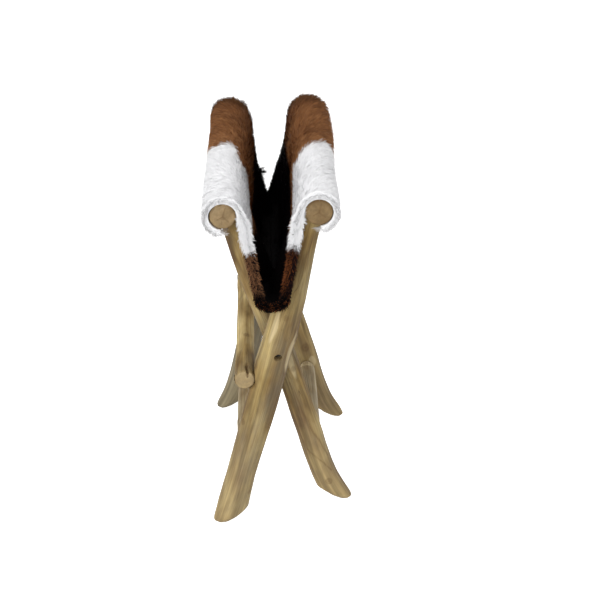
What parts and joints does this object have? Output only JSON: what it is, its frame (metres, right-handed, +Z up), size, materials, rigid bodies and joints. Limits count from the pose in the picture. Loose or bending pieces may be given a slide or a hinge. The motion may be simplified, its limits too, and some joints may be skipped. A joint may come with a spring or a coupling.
{
  "type": "folding stool",
  "caption": "Folding stool: two crossed frames of peeled branches turn on a bolted pivot and carry a hanging seat of hair-on cowhide",
  "frame": {"origin": "middle of the ground that the nearly folded stool covers", "axes": "+Z up, Y along the seat rails, X across the two frames"},
  "size_m": [0.2182, 0.404, 0.5436],
  "materials": {
    "peeled_wood": "debarked branch, hand shaved and oiled, with knots and fine checks",
    "rail_wood": "debarked branch with sawn end grain",
    "hair_on_hide": "cowhide tanned with its hair on, brown with white patches",
    "zinc_steel": "zinc plated, dulled",
    "aged_brass": "darkened domed tack heads"
  },
  "bodies": {
    "pivot_pins": {"front_pivot_bolt": "zinc_steel", "back_pivot_bolt": "zinc_steel", "front_pivot_nut": "zinc_steel", "back_pivot_nut": "zinc_steel", "front_pivot_washers": "zinc_steel", "back_pivot_washers": "zinc_steel"},
    "outer_frame": {"outer_front_leg": "peeled_wood", "outer_back_leg": "peeled_wood", "right_rail": "rail_wood", "outer_stretcher": "peeled_wood", "pivot_rung": "peeled_wood", "rung_screws": "zinc_steel", "right_hide_roll": "hair_on_hide", "right_rail_tacks": "aged_brass"},
    "inner_frame": {"inner_front_leg": "peeled_wood", "inner_back_leg": "peeled_wood", "left_rail": "rail_wood", "inner_stretcher": "peeled_wood", "left_hide_roll": "hair_on_hide", "left_rail_tacks": "aged_brass"},
    "right_hide": {"right_hide_wall": "hair_on_hide"},
    "right_hide_fold": {"right_hide_bottom": "hair_on_hide"},
    "left_hide": {"left_hide_wall": "hair_on_hide"},
    "left_hide_fold": {"left_hide_bottom": "hair_on_hide"}
  },
  "joints": [
    {"name": "fold", "type": "hinge", "parent": "pivot_pins", "child": "outer_frame", "pos_m": [-0.0037, 0, 0.29264], "axis": [0, 1, 0], "range_deg": [-5, 24.5]},
    {"name": "inner_turn", "type": "hinge", "parent": "pivot_pins", "child": "inner_frame", "pos_m": [-0.0037, 0, 0.29264], "axis": [0, 1, 0], "range_deg": [-24.51, 5.01]},
    {"name": "right_hide_swing", "type": "hinge", "parent": "outer_frame", "child": "right_hide", "pos_m": [0.05093, 0, 0.51503], "axis": [0, 1, 0], "range_deg": [-4.21, 20.59], "deforming": ["right_hide_wall"]},
    {"name": "right_hide_bend", "type": "hinge", "parent": "right_hide", "child": "right_hide_fold", "pos_m": [0.00655, 0, 0.38104], "axis": [0, 1, 0], "range_deg": [-45.09, 9.21], "deforming": ["right_hide_bottom"]},
    {"name": "left_hide_swing", "type": "hinge", "parent": "inner_frame", "child": "left_hide", "pos_m": [-0.07065, 0, 0.51163], "axis": [0, 1, 0], "range_deg": [-23.29, 4.76], "deforming": ["left_hide_wall"]},
    {"name": "left_hide_bend", "type": "hinge", "parent": "left_hide", "child": "left_hide_fold", "pos_m": [-0.0267, 0, 0.37782], "axis": [0, 1, 0], "range_deg": [-9.76, 47.78], "deforming": ["left_hide_bottom"]}
  ],
  "couplings": [
    {"joint": "inner_turn", "follows": "fold", "ratio": -1},
    {"joint": "right_hide_swing", "follows": "fold", "ratio": 0.84},
    {"joint": "right_hide_bend", "follows": "fold", "ratio": -1.84},
    {"joint": "left_hide_swing", "follows": "fold", "ratio": -0.95},
    {"joint": "left_hide_bend", "follows": "fold", "ratio": 1.95}
  ]
}
